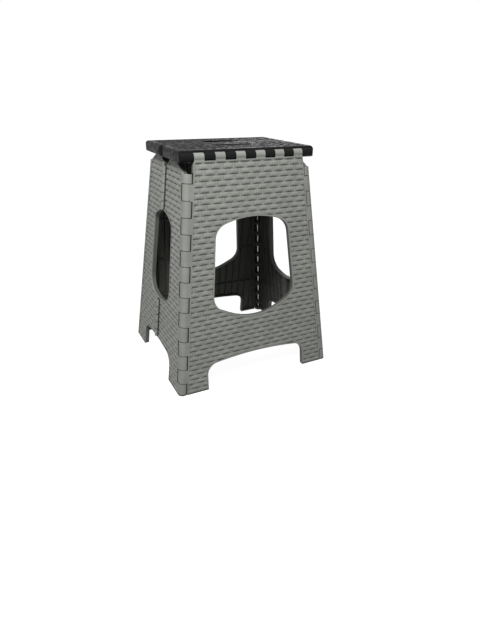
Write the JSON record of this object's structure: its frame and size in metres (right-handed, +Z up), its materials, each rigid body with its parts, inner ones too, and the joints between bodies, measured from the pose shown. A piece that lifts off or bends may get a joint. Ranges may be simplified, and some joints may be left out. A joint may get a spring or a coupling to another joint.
{
  "type": "folding step stool",
  "caption": "Tall folding step stool: tapered woven-pattern plastic panels hinged at corners and along the end walls, under a seat in halves with grip holes",
  "frame": {"origin": "centre of the footprint on the floor, at the middle of the base between the four feet", "axes": "+X runs along the wide panels and the seat's hinges, +Y from the front panel to the rear panel, +Z up to the seat"},
  "size_m": [0.35, 0.309, 0.45],
  "materials": {
    "grey_plastic": "satin moulded plastic",
    "black_plastic": "semi-gloss moulded plastic",
    "pin_steel": "drawn wire"
  },
  "bodies": {
    "front_panel": {"front_panel": "grey_plastic", "front_left_corner_pin": "pin_steel", "front_right_corner_pin": "pin_steel", "front_seat_pin": "pin_steel"},
    "left_front_side": {"left_front_side": "grey_plastic", "left_upper_middle_pin": "pin_steel", "left_lower_middle_pin": "pin_steel"},
    "left_rear_side": {"left_rear_side": "grey_plastic"},
    "rear_panel": {"rear_panel": "grey_plastic", "rear_left_corner_pin": "pin_steel", "rear_right_corner_pin": "pin_steel", "rear_seat_pin": "pin_steel"},
    "right_rear_side": {"right_rear_side": "grey_plastic"},
    "right_front_side": {"right_front_side": "grey_plastic", "right_upper_middle_pin": "pin_steel", "right_lower_middle_pin": "pin_steel"},
    "front_seat": {"front_seat_half": "black_plastic", "left_seat_middle_pin": "pin_steel", "right_seat_middle_pin": "pin_steel"},
    "rear_seat": {"rear_seat_half": "black_plastic"}
  },
  "joints": [
    {"name": "left_front_corner_hinge", "type": "hinge", "parent": "front_panel", "child": "left_front_side", "pos_m": [-0.16493, -0.14442, 0], "axis": [-0.1123, -0.1228, -0.986], "range_deg": [0, 90.8]},
    {"name": "left_middle_hinge", "type": "hinge", "parent": "left_front_side", "child": "left_rear_side", "pos_m": [-0.1752, 0, 0.00002], "axis": [0.1132, 0, 0.9936], "range_deg": [0, 180]},
    {"name": "left_rear_corner_hinge", "type": "hinge", "parent": "left_rear_side", "child": "rear_panel", "pos_m": [-0.16493, 0.14442, 0], "axis": [-0.1123, 0.1228, -0.986], "range_deg": [0, 90.8]},
    {"name": "right_rear_corner_hinge", "type": "hinge", "parent": "rear_panel", "child": "right_rear_side", "pos_m": [0.16493, 0.14442, 0], "axis": [0.1123, 0.1228, -0.986], "range_deg": [0, 90.8]},
    {"name": "right_front_corner_hinge", "type": "hinge", "parent": "front_panel", "child": "right_front_side", "pos_m": [0.16493, -0.14442, 0], "axis": [-0.1123, 0.1228, 0.986], "range_deg": [0, 90.8]},
    {"name": "front_seat_hinge", "type": "hinge", "parent": "front_panel", "child": "front_seat", "pos_m": [0, -0.09266, 0.4382], "axis": [1, 0, 0], "range_deg": [0, 82.9]},
    {"name": "rear_seat_hinge", "type": "hinge", "parent": "rear_panel", "child": "rear_seat", "pos_m": [0, 0.09266, 0.4382], "axis": [-1, 0, 0], "range_deg": [0, 82.9]}
  ],
  "couplings": [
    {"joint": "left_middle_hinge", "follows": "left_front_corner_hinge", "ratio": 1.9824},
    {"joint": "left_rear_corner_hinge", "follows": "left_front_corner_hinge", "ratio": 1},
    {"joint": "right_rear_corner_hinge", "follows": "left_front_corner_hinge", "ratio": 1},
    {"joint": "right_front_corner_hinge", "follows": "left_front_corner_hinge", "ratio": 1},
    {"joint": "front_seat_hinge", "follows": "left_front_corner_hinge", "ratio": 0.91299},
    {"joint": "rear_seat_hinge", "follows": "left_front_corner_hinge", "ratio": 0.91299}
  ]
}
